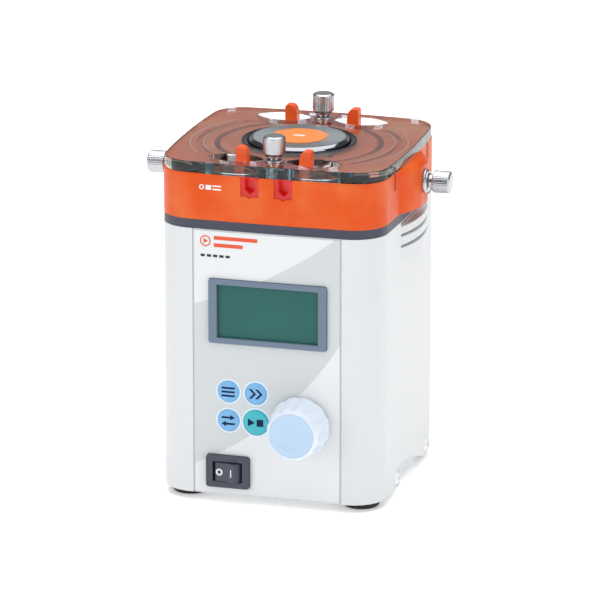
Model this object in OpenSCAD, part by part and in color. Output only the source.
// Bench-top peristaltic pump: a square case with a clip-in roller head under a clear lid.
// X is to the right, Y to the back and Z up. Z = 0 is the plane that the feet stand on.

/* [Case] */
// Width across the middle of the bowed sides
case_w = 115.2; // [112:0.2:120]
// Depth across the middle of the bowed front and back
case_d = 117.2; // [114:0.2:122]
// Height of the white case, without the feet
case_h = 135.7; // [130:0.1:145]
// Radius of the upright corners
corner_r = 17.1; // [14:0.1:19]
// How far each side bows outwards
side_bow = 1.55; // [1:0.05:2]
// Thickness of the moulded covers
wall = 2.5; // [2:0.1:3]
// Half the width of the front and rear panels
panel_half = 37.4; // [36.5:0.1:38]
// Gap between a panel and a side cover
panel_gap = 0.5; // [0.4:0.1:0.8]
// Height of the dark deck plate between case and head
deck_t = 4.6; // [4:0.1:6]

/* [Feet] */
// Height of the rubber feet
foot_h = 4; // [3:0.5:6]
// Diameter of the rubber feet
foot_d = 18.5; // [16:0.5:20]
// Distance of a foot from the centre line, sideways
foot_x = 44; // [40:0.5:45]
// Distance of a foot from the centre line, front to back
foot_y = 42.5; // [40:0.5:44]

/* [Louvres] */
// Number of louvres in each side
louvre_count = 3; // [2:1:4]
// Distance between louvres
louvre_pitch = 5.7; // [5.4:0.1:6]
// Length of a louvre
louvre_l = 50; // [30:1:54]
// How far the louvres bulge out of the side
louvre_out = 4.2; // [2:0.2:5]

/* [Front panel] */
// Width of the display bezel
bezel_w = 60; // [58:0.5:62]
// Height of the display bezel
bezel_h = 32.7; // [31:0.1:34]
// Height of the display's middle above the table
display_z = 98.7; // [95:0.1:102]
// Width of the display window
window_w = 51.6; // [50:0.1:53]
// Height of the display window
window_h = 27.2; // [26:0.1:28]
// Diameter of the three small buttons
button_d = 11.2; // [10:0.1:11.6]
// Diameter of the run button
run_d = 13.2; // [12:0.1:13.4]
// Height of the lower row of buttons
button_z = 42.9; // [42:0.1:44]
// Distance between the rows of buttons
button_row = 14.8; // [14.4:0.1:15.2]
// Largest diameter of the setting knob
knob_d = 31; // [29:0.2:31.2]
// How far the setting knob stands out
knob_h = 16.8; // [14:0.1:18]
// Sideways place of the setting knob
knob_x = 17.3; // [17:0.1:18]
// Height of the setting knob's axis
knob_z = 43; // [42:0.1:46]
// Number of grip flutes round the setting knob
knob_flutes = 12; // [8:1:16]

/* [Power switch] */
// Width of the switch bezel
switch_w = 22.2; // [21:0.1:23]
// Height of the switch bezel
switch_h = 16.5; // [15:0.1:17]
// Sideways place of the switch
switch_x = -19.8; // [-21:0.1:-19]
// Height of the switch's middle
switch_z = 16.4; // [15.5:0.1:18]
// Angle that the rocker tips to either side of level
rocker_tilt = 10; // [6:1:12]

/* [Pump head] */
// Height of the orange head
head_h = 22.6; // [21.5:0.1:24]
// Thickness of the clear lid
lid_t = 5.8; // [4:0.1:7]
// Width of the lid across its bowed sides
lid_w = 116.3; // [115:0.1:118]
// Depth of the lid across its bowed front and back
lid_d = 113.9; // [113:0.1:116]
// Radius of the lid's corners
lid_r = 15.8; // [14:0.1:18]
// How far each side of the lid bows outwards
lid_bow = 2.9; // [2:0.1:3.2]
// Reach of the side screw bosses from the centre
boss_reach = 64.6; // [63:0.1:65.5]
// Distance of the tube slots from the centre line
slot_x = 8.5; // [8.3:0.1:8.8]
// Width of a tube slot
slot_w = 9.2; // [9:0.1:9.4]
// Depth of a tube slot below the lid
slot_h = 9.3; // [9:0.1:10]

/* [Rotor] */
// Number of rollers
roller_count = 4; // [3:1:4]
// Diameter of a roller
roller_d = 15; // [14:0.5:15]
// Radius of the circle that the rollers sit on
roller_ring = 31; // [30.5:0.1:31]
// Gap left for the squeezed tube between roller and shoe
squeeze_gap = 3.6; // [3.2:0.1:3.8]
// Outer radius of a shoe
shoe_r = 53.6; // [53:0.1:53.8]
// Travel of a shoe away from the rotor
shoe_travel = 3; // [2:0.5:3]
// Radius of the turned cap over the rotor
cap_r = 25.2; // [24:0.1:25.4]

/* [Screws and clamps] */
// Diameter of the thumbscrew knobs
thumb_d = 11.1; // [10:0.1:12]
// Length of the thumbscrew knobs
thumb_l = 9; // [8:0.5:10]
// Distance of the lid screws from the centre
lid_screw_y = 44.3; // [44.2:0.1:44.5]
// Sideways place of the clamp tabs
tab_x = 16.1; // [15.8:0.1:16.4]
// Width of a clamp tab
tab_w = 6; // [5.6:0.1:6.4]
// Travel of a clamp away from the tube
clamp_travel = 6; // [4:0.5:6]

/* [Hidden] */
$fn = 72;

// Heights of the stack, from the table up
case_z = foot_h;
deck_z = case_z + case_h;
head_z = deck_z + deck_t;
lid_z = head_z + head_h;
top_z = lid_z + lid_t;

// The setting knob reaches furthest forward and the mains inlet furthest back
front_y = -case_d / 2;
rear_y = case_d / 2;
knob_front = front_y - 0.3 - knob_h;
inlet_back = rear_y + 2.4;
axis_y = -(knob_front + inlet_back) / 2;

// Panel parts: the overlay film lies on the panel, flush with the covers
film_t = 0.4;
panel_t = 2.8;
pcb_y = front_y + 10;
col_left = -19.5;
col_right = -5.4;
button_proud = 0.7;
button_travel = 0.5;

// Switch
switch_front = front_y - 1.9;
pivot_y = front_y + 1.8;
rocker_r = 7.15;

// Head
floor_t = 3;
floor_z = head_z + floor_t;
chamber_r = 43.4;
shoe_in = roller_ring + roller_d / 2 + squeeze_gap;
shoe_half = 33.6;
side_z = head_z + 11.8;
boss_r = 39.2;
slot_z = lid_z - slot_h;
jaw_x = slot_x - 3.4;
jaw_front = 54;
clamp_l = 15.5;
tab_y = 43.6;
tab_t = 5.6;
lens_x = 20;
lens_y = 42.8;
lens_l = 28;
lens_w = 15;
lip_r = 47.4;
skin_t = 1.5;

// Rotor
shaft_r = 4;
rotor_z = floor_z + 1;
plate_t = 3;
upper_z = lid_z - 0.5 - plate_t;
pin_r = 2;
cap_top = top_z + 1.7;
badge_r = 14;
ring_r = 28.4;

white = [0.92, 0.93, 0.94];
slate = [0.28, 0.31, 0.40];
orange = [0.92, 0.36, 0.12];
chrome = [0.80, 0.81, 0.83];
steel = [0.62, 0.64, 0.66];
board = [0.10, 0.35, 0.20];

// ---- Shared shapes ----

module placed() {
    translate([0, axis_y, 0]) children();
}

module slab(z0, z1) {
    translate([0, 0, z0]) linear_extrude(z1 - z0) children();
}

// Block with its low and high corners given
module block(low, high) {
    translate(low) cube(high - low);
}

// Rod along Y from y0 to y1
module rod_y(r, y0, y1) {
    translate([0, y0, 0]) rotate([-90, 0, 0]) cylinder(r = r, h = y1 - y0);
}

// Rod along X from x0 to x1
module rod_x(r, x0, x1) {
    translate([x0, 0, 0]) rotate([0, 90, 0]) cylinder(r = r, h = x1 - x0);
}

// Rectangle with round corners, from circles and two bars
module round_rect(w, h, r) {
    square([w - 2 * r, h], center = true);
    square([w, h - 2 * r], center = true);
    for (sx = [-1, 1], sy = [-1, 1])
        translate([sx * (w / 2 - r), sy * (h / 2 - r)]) circle(r);
}

// A round_rect standing in the XZ plane, from y0 to y1
module plate_y(w, h, r, y0, y1) {
    translate([0, y1, 0]) rotate([90, 0, 0]) linear_extrude(y1 - y0) round_rect(w, h, r);
}

// Radius of an arc that rises by bow over a chord of twice half
function bow_r(half, bow) = (half * half + bow * bow) / (2 * bow);

// Square with round corners and outward-bowed sides, all true arcs, shrunk by inset
module bowed_square(w, d, r, bow, inset = 0) {
    side_r = bow_r(d / 2, bow);
    end_r = bow_r(w / 2, bow);
    a = w / 2 - side_r;
    b = d / 2 - end_r;
    span = norm([a, b]);
    p = side_r - r;
    q = end_r - r;
    t = (p * p - q * q + span * span) / (2 * span);
    c = [a, 0] + t * [-a, b] / span + sqrt(p * p - t * t) * [-b, -a] / span;
    t1 = [a, 0] + (side_r - inset) * (c - [a, 0]) / p;
    t2 = [0, b] + (end_r - inset) * (c - [0, b]) / q;
    m = (t2.y - t1.y) / (t2.x - t1.x);
    far = max(w, d);
    near_y = t1.y + m * (far - t1.x);
    near_x = t1.x + (far - t1.y) / m;
    intersection() {
        translate([a, 0]) circle(side_r - inset, $fn = 720);
        translate([-a, 0]) circle(side_r - inset, $fn = 720);
        translate([0, b]) circle(end_r - inset, $fn = 720);
        translate([0, -b]) circle(end_r - inset, $fn = 720);
        polygon([
            [far, near_y], [near_x, far], [-near_x, far], [-far, near_y],
            [-far, -near_y], [-near_x, -far], [near_x, -far], [far, -near_y]
        ]);
    }
    for (sx = [-1, 1], sy = [-1, 1]) translate([sx * c.x, sy * c.y]) circle(r - inset);
}

module case_outline(inset = 0) {
    bowed_square(case_w, case_d, corner_r, side_bow, inset);
}

module lid_outline(inset = 0) {
    bowed_square(lid_w, lid_d, lid_r, lid_bow, inset);
}

// Wall between two insets of the case outline
module case_shell(z0, z1, outer, inner) {
    slab(z0, z1) difference() {
        case_outline(outer);
        case_outline(inner);
    }
}

// ---- Base and frame ----

module rubber_feet() {
    color([0.08, 0.08, 0.09]) placed() {
        for (sx = [-1, 1], sy = [-1, 1])
            translate([sx * foot_x, sy * foot_y, 0]) rotate_extrude()
                polygon([
                    [0, 0.6], [2.5, 0.6], [2.5, 0], [foot_d / 2 - 1, 0], [foot_d / 2, 1],
                    [foot_d / 2, case_z + 0.4], [0, case_z + 0.4]
                ]);
    }
}

// Places of the cover screws: along Y, and their height
cover_screw_y = [-24, 33.5];
cover_screw_z = case_z + 5;
screw_seat = case_w / 2 - 0.7;

module base_plate() {
    color(white) placed() {
        slab(case_z + 0.4, case_z + 2) case_outline(wall + 1);
        difference() {
            case_shell(case_z + 0.4, case_z + 14, wall + 0.3, wall + 1.9);
            block([-41, -100, 0], [41, 100, 200]);
            block([-100, 42, 0], [100, 100, 200]);
            block([-100, -100, 0], [100, -42, 200]);
            for (y = cover_screw_y) translate([0, y, cover_screw_z]) rod_x(2.05, -100, 100);
        }
    }
}

post_xy = 43.5;

module frame_posts() {
    color(steel) placed() {
        for (sx = [-1, 1], sy = [-1, 1]) translate([sx * post_xy, sy * post_xy, case_z + 2])
            cylinder(r = 4, h = deck_z - case_z - 2);
    }
}

// ---- Covers ----

louvre_top = deck_z - 0.6;
louvre_y = -19.5;
louvre_gap = 2;
arch_front = -19.2;
arch_rear = 29;
arch_h = 11.4;
arch_r = 318;
arch_mid = -69;

// Bulge on the side that the louvre gaps are cut into
module louvre_bulge() {
    half = louvre_l / 2;
    bulge_r = bow_r(half, louvre_out);
    slab(louvre_top - louvre_count * louvre_pitch, louvre_top - louvre_gap) intersection() {
        translate([case_w / 2 + louvre_out - bulge_r, louvre_y + half]) circle(bulge_r, $fn = 720);
        translate([case_w / 2 - 1, louvre_y - 2]) square([louvre_out + 2, louvre_l + 4]);
    }
}

// One gap above a louvre, its floor falling outwards, along Y
module louvre_slot() {
    translate([case_w / 2, louvre_y + louvre_l, 0]) rotate([90, 0, 0]) linear_extrude(louvre_l)
        polygon([
            [8, 0], [-5, 0], [-5, -1.1], [-1.5, -1.1], [louvre_out, -louvre_gap], [8, -louvre_gap]
        ]);
}

// Cut-away in the lower edge of a side cover, highest at its front end
module hand_arch() {
    crown = case_z + 15.2 - arch_r;
    translate([45, 0, 0]) rotate([90, 0, 90]) linear_extrude(55) intersection() {
        translate([arch_mid, crown]) circle(r = arch_r, $fn = 360);
        polygon([
            [arch_front, 0], [arch_front, case_z + arch_h - 2.2], [arch_front + 0.7, case_z + arch_h - 0.6],
            [arch_front + 2.2, case_z + arch_h], [arch_rear, case_z + arch_h], [arch_rear, 0]
        ]);
    }
}

module side_cover() {
    difference() {
        union() {
            case_shell(case_z, deck_z - 0.1, 0, wall);
            louvre_bulge();
        }
        block([-100, -100, 0], [panel_half + panel_gap, 100, 200]);
        for (i = [0 : louvre_count - 1])
            translate([0, 0, louvre_top - i * louvre_pitch]) louvre_slot();
        hand_arch();
        for (y = cover_screw_y) translate([0, y, cover_screw_z]) {
            rod_x(2.2, 45, 100);
            rod_x(4.4, screw_seat, 100);
        }
    }
}

module right_cover() {
    color(white) placed() side_cover();
}

module left_cover() {
    color(white) placed() mirror([1, 0, 0]) side_cover();
}

// Cross-head screw along X: dome with its seat at x = 0, shank to -len
module cross_screw(head_r, shank_r, len) {
    dome_r = head_r * 1.35;
    rim_angle = acos(head_r / dome_r);
    seat = dome_r * sin(rim_angle);
    reach = head_r * 0.55;
    difference() {
        rotate([0, 90, 0]) rotate_extrude() polygon(concat(
            [[0, -len], [shank_r, -len], [shank_r, 0], [head_r, 0]],
            [for (i = [1 : 5]) let (a = rim_angle + (90 - rim_angle) * i / 6)
                [dome_r * cos(a), dome_r * sin(a) - seat]],
            [[0, dome_r - seat]]
        ));
        block([0.5, -reach, -0.4], [10, reach, 0.4]);
        block([0.5, -0.4, -reach], [10, 0.4, reach]);
    }
}

module cover_screws() {
    color(white) placed() {
        for (side = [0, 1], y = cover_screw_y) mirror([side, 0, 0])
            translate([screw_seat, y, cover_screw_z]) cross_screw(4, 2, 7);
    }
}

// ---- Front panel ----

button_at = [
    [col_left, button_z + button_row], [col_right, button_z + button_row],
    [col_left, button_z], [col_right, button_z]
];
display_x = 0.6;

// Panel between the covers, with a flange behind that laps them; front and rear are alike
module panel_blank() {
    intersection() {
        case_shell(case_z, deck_z - 0.1, film_t, film_t + panel_t);
        block([-panel_half, -100, 0], [panel_half, -40, 200]);
    }
    intersection() {
        case_shell(case_z + 3, deck_z - 1, wall + 0.3, wall + 1.9);
        block([-41.5, -100, 0], [41.5, -40, 200]);
    }
}

module front_panel() {
    color(white) placed() difference() {
        panel_blank();
        translate([display_x, 0, display_z]) {
            plate_y(bezel_w + 0.3, bezel_h + 0.3, 1.3, front_y - 5, front_y + 1.4);
            plate_y(55.4, 30.4, 1, front_y, front_y + 9);
        }
        for (p = button_at) translate([p.x, 0, p.y])
            rod_y((p == button_at[3] ? run_d : button_d) / 2 + 0.3, front_y - 5, front_y + 9);
        translate([knob_x, 0, knob_z]) rod_y(4.6, front_y - 5, front_y + 9);
        translate([switch_x, 0, switch_z]) {
            plate_y(switch_w + 0.3, switch_h + 0.3, 1.6, front_y - 5, front_y + 0.9);
            plate_y(19.6, 13.6, 0.6, front_y, front_y + 9);
        }
    }
}

module keypad_overlay() {
    color([0.88, 0.90, 0.91]) placed() difference() {
        case_shell(case_z + 1, deck_z - 0.8, 0, film_t);
        block([-100, -40, 0], [100, 100, 200]);
        block([panel_half - 0.4, -100, 0], [100, 100, 200]);
        block([-100, -100, 0], [0.4 - panel_half, 100, 200]);
        translate([display_x, 0, display_z])
            plate_y(bezel_w + 0.3, bezel_h + 0.3, 1.3, front_y - 5, front_y + 5);
        for (p = button_at) translate([p.x, 0, p.y])
            rod_y((p == button_at[3] ? run_d : button_d) / 2 + 0.3, front_y - 5, front_y + 9);
        translate([knob_x, 0, knob_z]) rod_y(6, front_y - 5, front_y + 9);
        translate([switch_x, 0, switch_z])
            plate_y(switch_w + 0.3, switch_h + 0.3, 1.6, front_y - 5, front_y + 5);
    }
}

module display_bezel() {
    color([0.45, 0.52, 0.62]) placed() translate([display_x, 0, display_z]) difference() {
        union() {
            plate_y(bezel_w, bezel_h, 1.2, front_y - 1, front_y + 1.4);
            plate_y(55, 30, 1, front_y + 1.4, front_y + 4.2);
        }
        plate_y(window_w, window_h, 0.6, front_y - 5, front_y + 9);
    }
}

module display_window() {
    color([0.22, 0.42, 0.40]) placed() translate([display_x, 0, display_z])
        plate_y(window_w - 0.1, window_h - 0.1, 0.5, front_y + 1, front_y + 2.4);
}

module lcd_module() {
    color(board) placed() translate([display_x, 0, display_z]) {
        plate_y(window_w - 0.4, window_h - 0.4, 0.5, front_y + 2.5, front_y + 5.3);
        plate_y(72, 36, 1, front_y + 5.3, front_y + 7);
        plate_y(60, 20, 1, front_y + 7, front_y + 9.9);
    }
}

// Push button with a stem that reaches the small switch behind it
module push_button(i, d, paint) {
    color(paint) placed() translate([button_at[i].x, 0, button_at[i].y]) {
        rod_y(d / 2, front_y - button_proud, front_y + 2.6);
        rod_y(2, front_y + 2.6, front_y + 7.4);
    }
}

module menu_button() { push_button(0, button_d, [0.53, 0.75, 0.92]); }
module fast_button() { push_button(1, button_d, [0.53, 0.75, 0.92]); }
module direction_button() { push_button(2, button_d, [0.53, 0.75, 0.92]); }
module run_button() { push_button(3, run_d, [0.28, 0.75, 0.80]); }

module encoder() {
    color(steel) placed() translate([knob_x, 0, knob_z]) difference() {
        union() {
            plate_y(13, 13, 1, front_y + 4.9, front_y + 9.9);
            rod_y(4.5, front_y - 0.2, front_y + 4.9);
        }
        rod_y(3.05, front_y - 5, front_y + 9);
    }
}

module encoder_shaft() {
    color(steel) placed() translate([knob_x, 0, knob_z]) rod_y(3, front_y - 12, front_y + 8.6);
}

// Fluted knob with a round shoulder and a dished front
module encoder_knob() {
    r0 = knob_d / 2;
    shoulder = 3.2;
    top_r = 10.9;
    lean = atan((r0 - top_r - shoulder) / (knob_h - shoulder - 2.5));
    color([0.80, 0.87, 0.95]) placed() translate([knob_x, front_y - 0.3, knob_z]) rotate([90, 0, 0])
        difference() {
            rotate_extrude() polygon(concat(
                [[0, 12.1], [3.02, 12.1], [3.02, 3], [6.5, 3], [6.5, 0], [r0, 0], [r0, 2.5]],
                [for (a = [0 : 10 : 90]) [
                    top_r + shoulder * cos(a), knob_h - shoulder + shoulder * sin(a)]],
                [[9.6, knob_h], [8.8, knob_h - 0.7], [0, knob_h - 1.1]]
            ));
            for (i = [0 : knob_flutes - 1]) rotate(i * 360 / knob_flutes)
                translate([r0 + 2.2, 0, 0]) rotate([0, -lean, 0])
                    translate([0, 0, -2]) cylinder(r = 3.6, h = knob_h + 8);
        }
}

// ---- Power switch ----

module switch_housing() {
    color([0.24, 0.26, 0.32]) placed() translate([switch_x, 0, switch_z]) difference() {
        union() {
            plate_y(switch_w, switch_h, 1.5, switch_front, front_y + 0.9);
            plate_y(19.2, 13.2, 0.5, front_y + 0.9, front_y + 15);
        }
        block([-rocker_r - 0.3, front_y - 9, -5.05], [rocker_r + 0.3, pivot_y, 5.05]);
        translate([0, pivot_y, -5.05]) cylinder(r = rocker_r + 0.3, h = 10.1);
        translate([0, pivot_y, -5.8]) cylinder(r = 0.85, h = 11.6);
    }
}

// Rocker seen along its pivot: two sloping faces inside a circle about the pivot
module power_rocker() {
    color([0.22, 0.24, 0.30]) placed() translate([switch_x, pivot_y, switch_z])
        rotate([0, 0, -rocker_tilt]) {
            translate([0, 0, -4.75]) linear_extrude(9.5) intersection() {
                circle(rocker_r);
                polygon([[-8, 3], [-8, -5.7], [0, -4.4], [8, -5.7], [8, 3]]);
            }
            translate([0, 0, -5.6]) cylinder(r = 0.8, h = 11.2);
        }
}

// ---- Electronics ----

module control_board() {
    color(board) placed() {
        block([-35, pcb_y, 27], [35, pcb_y + 1.6, 124]);
        for (x = [-32, 32], z = [30, 121]) translate([x, 0, z]) rod_y(2.5, front_y + 4.9, pcb_y);
        for (p = button_at) translate([p.x, 0, p.y]) {
            plate_y(6, 6, 0.5, front_y + 8, pcb_y);
            block([-4.5, pcb_y + 1.6, -1], [4.5, pcb_y + 2.6, 1]);
        }
        block([-12, pcb_y + 1.6, 80], [12, pcb_y + 4, 104]);
        block([-30, pcb_y + 1.6, 108], [30, pcb_y + 6, 114]);
        translate([26, 0, 66]) rod_y(4, pcb_y + 1.6, pcb_y + 9);
        translate([26, 0, 78]) rod_y(4, pcb_y + 1.6, pcb_y + 9);
    }
}

module power_supply() {
    color([0.12, 0.32, 0.22]) placed() {
        block([-34, 35, 48], [34, 36.6, 122]);
        for (x = [-31, 31], z = [51, 119]) translate([x, 0, z]) rod_y(2.5, 36.6, rear_y - 5);
        block([-28, 36.6, 54], [4, 52, 84]);
        block([12, 36.6, 90], [30, 48, 120]);
        for (x = [14, 26], z = [58, 72]) translate([x, 0, z]) rod_y(5, 36.6, 50);
        for (x = [-26, -14, -2], z = [96]) block([x, 36.6, z], [x + 7, 46, z + 20]);
    }
}

// ---- Rear panel ----

inlet_z = 32;
fuse_x = 27;
panel_screw_at = [[-31, 12], [31, 12], [-31, 128], [31, 128]];

module rear_panel() {
    color(white) placed() difference() {
        mirror([0, 1, 0]) panel_blank();
        translate([0, 0, inlet_z]) {
            plate_y(31.3, 24.8, 2.1, rear_y - 0.8, rear_y + 9);
            plate_y(27.4, 20.4, 2, rear_y - 9, rear_y + 9);
        }
        translate([fuse_x, 0, inlet_z]) rod_y(6.2, rear_y - 9, rear_y + 9);
        for (i = [-3 : 3]) translate([i * 7, 0, 112]) plate_y(2.6, 22, 1.25, rear_y - 9, rear_y + 9);
        for (p = panel_screw_at) translate([p.x, 0, p.y]) {
            rod_y(1.7, rear_y - 9, rear_y + 9);
            rod_y(3.6, rear_y - 1.2, rear_y + 9);
        }
    }
}

module rear_panel_screws() {
    color(steel) placed() {
        for (p = panel_screw_at) translate([p.x, rear_y - 1.2, p.y]) rotate([0, 0, 90])
            cross_screw(3.2, 1.6, 7);
    }
}

module power_inlet() {
    color([0.10, 0.10, 0.11]) placed() translate([0, 0, inlet_z]) {
        difference() {
            union() {
                plate_y(31, 24.5, 2, rear_y - 0.8, inlet_back);
                plate_y(27, 20, 1.8, rear_y - 19, rear_y - 0.8);
            }
            plate_y(24.4, 16.6, 2.5, inlet_back - 17, inlet_back + 5);
        }
        for (x = [-7, 7]) block([x - 1, inlet_back - 17.5, -4.5], [x + 1, inlet_back - 4.6, -0.5]);
        block([-1, inlet_back - 17.5, 0.5], [1, inlet_back - 4.6, 4.5]);
    }
}

module fuse_holder() {
    color([0.12, 0.12, 0.13]) placed() translate([fuse_x, 0, inlet_z]) difference() {
        union() {
            rod_y(6, rear_y - 20, rear_y);
            rod_y(7.2, rear_y, rear_y + 1);
            rod_y(5.4, rear_y, rear_y + 2.2);
        }
        block([-4, rear_y + 1.2, -0.6], [4, rear_y + 9, 0.6]);
    }
}

// ---- Drive ----

bracket_z = 124;
stand_xy = 31;
boss_z = deck_z - 5;

module motor() {
    color([0.20, 0.20, 0.22]) placed() {
        translate([0, 0, 26]) cylinder(r = 28, h = 74);
        translate([0, 0, 20]) cylinder(r = 10, h = 6);
    }
}

module gearbox() {
    color(steel) placed() difference() {
        union() {
            translate([0, 0, 100]) cylinder(r = 24, h = bracket_z - 100);
            translate([0, 0, bracket_z]) cylinder(r = 11, h = 4);
        }
        translate([0, 0, 114]) cylinder(r = shaft_r + 0.05, h = 30);
    }
}

module motor_bracket() {
    color(steel) placed() slab(bracket_z, bracket_z + 3) difference() {
        round_rect(76, 76, 6);
        circle(11.2);
    }
}

module bracket_standoffs() {
    color(steel) placed() {
        for (sx = [-1, 1], sy = [-1, 1])
            translate([sx * stand_xy, sy * stand_xy, bracket_z + 3])
                cylinder(r = 3.5, h = deck_z - bracket_z - 3);
    }
}

module deck_plate() {
    color(slate) placed() difference() {
        union() {
            slab(deck_z, head_z) case_outline(0.1);
            translate([0, 0, boss_z]) cylinder(r = 15, h = 6);
        }
        translate([0, 0, boss_z + 2]) cylinder(r = 11, h = 30);
        translate([0, 0, boss_z - 1]) cylinder(r = 8, h = 30);
    }
}

module shaft_bearing() {
    color(steel) placed() translate([0, 0, boss_z + 2]) difference() {
        cylinder(r = 11, h = 7);
        translate([0, 0, -1]) cylinder(r = shaft_r + 0.03, h = 9);
        for (z = [-1, 6.2]) translate([0, 0, z]) difference() {
            cylinder(r = 9, h = 1.8);
            cylinder(r = 6, h = 1.8);
        }
    }
}

module drive_shaft() {
    color(steel) placed() translate([0, 0, 116]) cylinder(r = shaft_r, h = upper_z + 2 - 116);
}

// ---- Head ----

// Tube slot in the XZ plane, open at the top, with a small V in its floor
module slot_shape(grow = 0) {
    half = slot_w / 2 + grow;
    polygon([
        [-half, lid_z + 3], [-half, slot_z - grow], [-2, slot_z - grow], [0, slot_z - 1 - grow],
        [2, slot_z - grow], [half, slot_z - grow], [half, lid_z + 3]
    ]);
}

// The same in each corner of the head: drawn at front right, mirrored to the others
module in_corner(side, end) {
    mirror([side < 0 ? 1 : 0, 0, 0]) mirror([0, end > 0 ? 1 : 0, 0]) children();
}

// Room that a shoe of outer radius r needs over its travel, on both sides
module shoe_path(r) {
    for (s = [-1, 1]) intersection() {
        union() {
            circle(r);
            translate([s * (shoe_travel + 0.4), 0]) circle(r);
        }
        translate([s * 40, 0]) square([50, 2 * shoe_half + 0.8], center = true);
    }
}

module head_pockets() {
    difference() {
        union() {
            slab(floor_z, lid_z + 1) circle(chamber_r);
            slab(floor_z, lid_z - skin_t) shoe_path(shoe_r + 0.4);
            slab(floor_z, lid_z + 1) shoe_path(lip_r + 0.4);
            for (side = [-1, 1], end = [-1, 1]) in_corner(side, end) {
                translate([slot_x, -36, 0]) rotate([90, 0, 0]) linear_extrude(40) slot_shape();
                block([jaw_x - 0.6, -jaw_front - 0.6, slot_z + 0.3],
                    [jaw_x + clamp_l + clamp_travel + 0.6, -40.4, lid_z + 1]);
            }
        }
        for (end = [0, 1]) mirror([0, end, 0]) {
            block([-3.8, chamber_r, 0], [3.8, 70, 200]);
            translate([0, chamber_r, 0]) cylinder(r = 3.8, h = 200);
        }
    }
}

module boss_body() {
    translate([boss_reach - boss_r, 0, 0]) rotate_extrude() polygon([
        [0, head_z], [boss_r, head_z], [boss_r, lid_z - 3], [boss_r - 2.6, lid_z - 0.2],
        [0, lid_z - 0.2]
    ]);
}

boss_face = boss_reach - 0.4;

module head_base() {
    color(orange) placed() difference() {
        union() {
            slab(head_z, lid_z) case_outline();
            boss_body();
            mirror([1, 0, 0]) boss_body();
        }
        head_pockets();
        translate([0, 0, head_z - 1]) cylinder(r = 11.5, h = 10);
        for (s = [0, 1]) mirror([s, 0, 0]) {
            block([boss_face, -50, 0], [100, 50, 200]);
            translate([0, 0, side_z]) rod_x(3.05, 50, 100);
            for (y = [-30.6, 30.6])
                block([case_w / 2 - 1.6, y - 0.6, lid_z - 8.7], [100, y + 0.6, lid_z + 1]);
        }
        for (s = [-1, 1]) translate([0, s * lid_screw_y, lid_z - 14]) cylinder(r = 2.46, h = 20);
    }
}

// Clear red insert that grips the tube where it passes through the wall
module tube_guide(side, end) {
    color([0.80, 0.10, 0.10, 0.8]) placed() in_corner(side, end)
        translate([slot_x, front_y + 3.6, 0]) rotate([90, 0, 0]) linear_extrude(2.8) difference() {
            intersection() {
                slot_shape(-0.05);
                translate([-20, 0]) square([40, lid_z - 0.3]);
            }
            polygon([
                [-2.6, lid_z + 9], [-2.6, slot_z + 3.2], [0, slot_z + 1.2], [2.6, slot_z + 3.2],
                [2.6, lid_z + 9]
            ]);
        }
}

module front_left_guide() { tube_guide(-1, -1); }
module front_right_guide() { tube_guide(1, -1); }
module rear_left_guide() { tube_guide(-1, 1); }
module rear_right_guide() { tube_guide(1, 1); }

// Sliding jaw that closes on the tube, with a tab that stands up through the lid
module tube_clamp(side, end) {
    low = slot_z + 0.6;
    left = tab_x - tab_w / 2;
    right = tab_x + tab_w / 2;
    tab_top = top_z + 6.3;
    back = -tab_y + tab_t / 2;
    color([0.90, 0.28, 0.08]) placed() in_corner(side, end) {
        block([jaw_x, -jaw_front, low], [jaw_x + clamp_l, back, lid_z - 0.5]);
        translate([0, back, 0]) rotate([90, 0, 0]) linear_extrude(tab_t) polygon([
            [left, low], [right, low], [right, tab_top - 1], [right - 0.4, tab_top - 0.3],
            [right - 1.2, tab_top], [left + 2.8, tab_top], [left + 1.7, tab_top - 0.5],
            [left + 0.9, tab_top - 1.4], [left + 0.3, tab_top - 2.8], [left, tab_top - 5]
        ]);
    }
}

module front_left_clamp() { tube_clamp(-1, -1); }
module front_right_clamp() { tube_clamp(1, -1); }
module rear_left_clamp() { tube_clamp(-1, 1); }
module rear_right_clamp() { tube_clamp(1, 1); }

// Curved shoe that the rollers squeeze the tube against
module shoe() {
    difference() {
        slab(floor_z + 0.3, lid_z - 0.3) intersection() {
            difference() {
                circle(shoe_r);
                circle(shoe_in);
            }
            translate([45, 0]) square([50, 2 * shoe_half], center = true);
        }
        translate([0, 0, lid_z - skin_t - 0.2]) difference() {
            cylinder(r = shoe_r + 2, h = 10);
            translate([0, 0, -1]) cylinder(r = lip_r, h = 12);
        }
        translate([0, 0, side_z]) rod_x(3, 44.6, 80);
    }
}

module right_shoe() { color(orange) placed() shoe(); }
module left_shoe() { color(orange) placed() mirror([1, 0, 0]) shoe(); }

// Turned thumbscrew knob along X, from x = 0 to its end face
module thumb_knob() {
    r = thumb_d / 2;
    rotate([0, 90, 0]) rotate_extrude() polygon([
        [0, 0], [r - 1.2, 0], [r, 1.2], [r, thumb_l - 0.8], [r - 0.8, thumb_l], [0, thumb_l]
    ]);
}

module side_adjuster() {
    translate([0, 0, side_z]) {
        rod_x(2.95, 48.5, boss_face + 0.2);
        rod_x(6, boss_face + 0.1, boss_face + 2.5);
        rod_x(3.6, boss_face + 2.4, boss_face + 4.8);
        translate([boss_face + 4.7, 0, 0]) thumb_knob();
    }
}

module right_adjuster() { color(chrome) placed() side_adjuster(); }
module left_adjuster() { color(chrome) placed() mirror([1, 0, 0]) side_adjuster(); }

// ---- Rotor ----

module plate_with_pins(z, r) {
    translate([0, 0, z]) difference() {
        cylinder(r = r, h = plate_t);
        translate([0, 0, -1]) cylinder(r = shaft_r, h = plate_t + 2);
        for (i = [0 : roller_count - 1]) rotate(45 + i * 360 / roller_count)
            translate([roller_ring, 0, -1]) cylinder(r = pin_r, h = plate_t + 2);
    }
}

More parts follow.
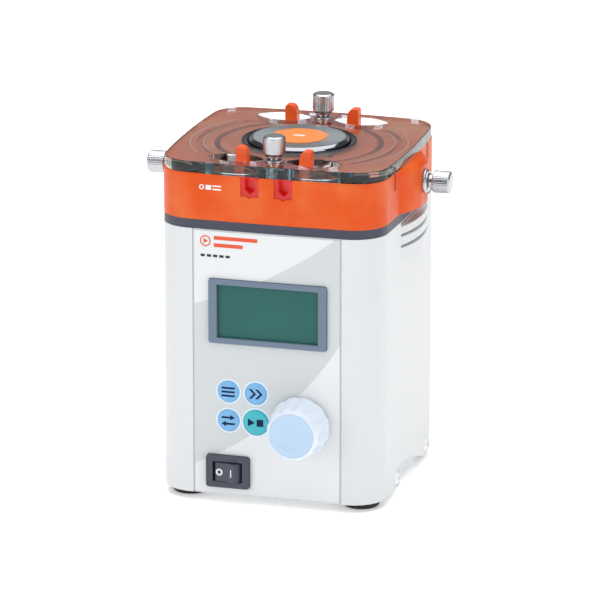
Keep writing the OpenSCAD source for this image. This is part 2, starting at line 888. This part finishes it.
module rotor_lower_plate() { color(steel) placed() plate_with_pins(rotor_z, 36); }
module rotor_upper_plate() { color(orange) placed() plate_with_pins(upper_z, 39.1); }

module rotor_hub() {
    color(steel) placed() translate([0, 0, rotor_z + plate_t]) difference() {
        cylinder(r = 10, h = upper_z - rotor_z - plate_t);
        translate([0, 0, -1]) cylinder(r = shaft_r, h = 40);
    }
}

module roller_pins() {
    color(steel) placed() {
        for (i = [0 : roller_count - 1]) rotate(45 + i * 360 / roller_count)
            translate([roller_ring, 0, rotor_z]) cylinder(r = pin_r, h = upper_z + plate_t - rotor_z);
    }
}

module roller(i) {
    color([0.90, 0.90, 0.88]) placed() rotate(45 + (i - 1) * 360 / roller_count)
        translate([roller_ring, 0, rotor_z + plate_t + 0.3]) difference() {
            cylinder(r = roller_d / 2, h = upper_z - rotor_z - plate_t - 0.6);
            translate([0, 0, -1]) cylinder(r = pin_r + 0.05, h = 40);
        }
}

module roller_1() { roller(1); }
module roller_2() { roller(2); }
module roller_3() { roller(3); }
module roller_4() { roller(4); }

module rotor_cap() {
    color([0.70, 0.72, 0.74]) placed() rotate_extrude() polygon([
        [0, upper_z + plate_t], [cap_r, upper_z + plate_t], [cap_r, cap_top - 1.4],
        [cap_r - 0.4, cap_top - 0.5], [cap_r - 1.4, cap_top], [0, cap_top]
    ]);
}

module rotor_badge() {
    color([0.96, 0.55, 0.22]) placed() translate([0, 0, cap_top]) cylinder(r = badge_r, h = 0.25);
}

// ---- Lid ----

module lens_hole() {
    r = bow_r(lens_l / 2, lens_w / 2);
    intersection() {
        translate([0, r - lens_w / 2]) circle(r);
        translate([0, lens_w / 2 - r]) circle(r);
    }
}

module lid() {
    color([0.45, 0.32, 0.28, 0.5]) placed() slab(lid_z + 0.05, top_z) difference() {
        lid_outline();
        circle(ring_r);
        for (s = [-1, 1]) translate([0, s * lid_screw_y]) circle(3.1);
        for (sx = [-1, 1], sy = [-1, 1]) translate([sx * lens_x, sy * lens_y]) lens_hole();
    }
}

// Dark ring lining the lid's middle hole, with a sloping top
module lid_ring() {
    inner = cap_r + 0.6;
    low = lid_z + 0.8;
    color([0.30, 0.31, 0.35]) placed() rotate_extrude() polygon([
        [inner, low], [ring_r, low], [ring_r, top_z + 0.2], [ring_r - 0.5, top_z + 0.2],
        [inner, top_z - 0.6]
    ]);
}

// Captive thumbscrew along Z, with its washer on the lid
module lid_screw(end) {
    color(chrome) placed() translate([0, end * lid_screw_y, 0]) {
        translate([0, 0, lid_z - 12]) cylinder(r = 2.4, h = 20);
        translate([0, 0, top_z + 0.02]) cylinder(r = 4.4, h = 0.8);
        translate([0, 0, top_z + 0.02]) cylinder(r = 2.9, h = 4);
        translate([0, 0, top_z + 2.2]) cylinder(r = 4.1, h = 1.8);
        translate([0, 0, top_z + 3.9]) rotate([0, -90, 0]) thumb_knob();
    }
}

module front_lid_screw() { lid_screw(-1); }
module rear_lid_screw() { lid_screw(1); }

rubber_feet();
base_plate();
frame_posts();
left_cover();
right_cover();
cover_screws();
front_panel();
keypad_overlay();
display_bezel();
display_window();
lcd_module();
menu_button();
fast_button();
direction_button();
run_button();
encoder();
encoder_shaft();
encoder_knob();
switch_housing();
power_rocker();
control_board();
rear_panel();
rear_panel_screws();
power_inlet();
fuse_holder();
power_supply();
motor();
gearbox();
motor_bracket();
bracket_standoffs();
deck_plate();
shaft_bearing();
drive_shaft();
rotor_hub();
head_base();
front_left_guide();
front_right_guide();
rear_left_guide();
rear_right_guide();
left_shoe();
right_shoe();
left_adjuster();
right_adjuster();
front_left_clamp();
front_right_clamp();
rear_left_clamp();
rear_right_clamp();
rotor_lower_plate();
rotor_upper_plate();
roller_pins();
roller_1();
roller_2();
roller_3();
roller_4();
rotor_cap();
rotor_badge();
lid();
lid_ring();
front_lid_screw();
rear_lid_screw();
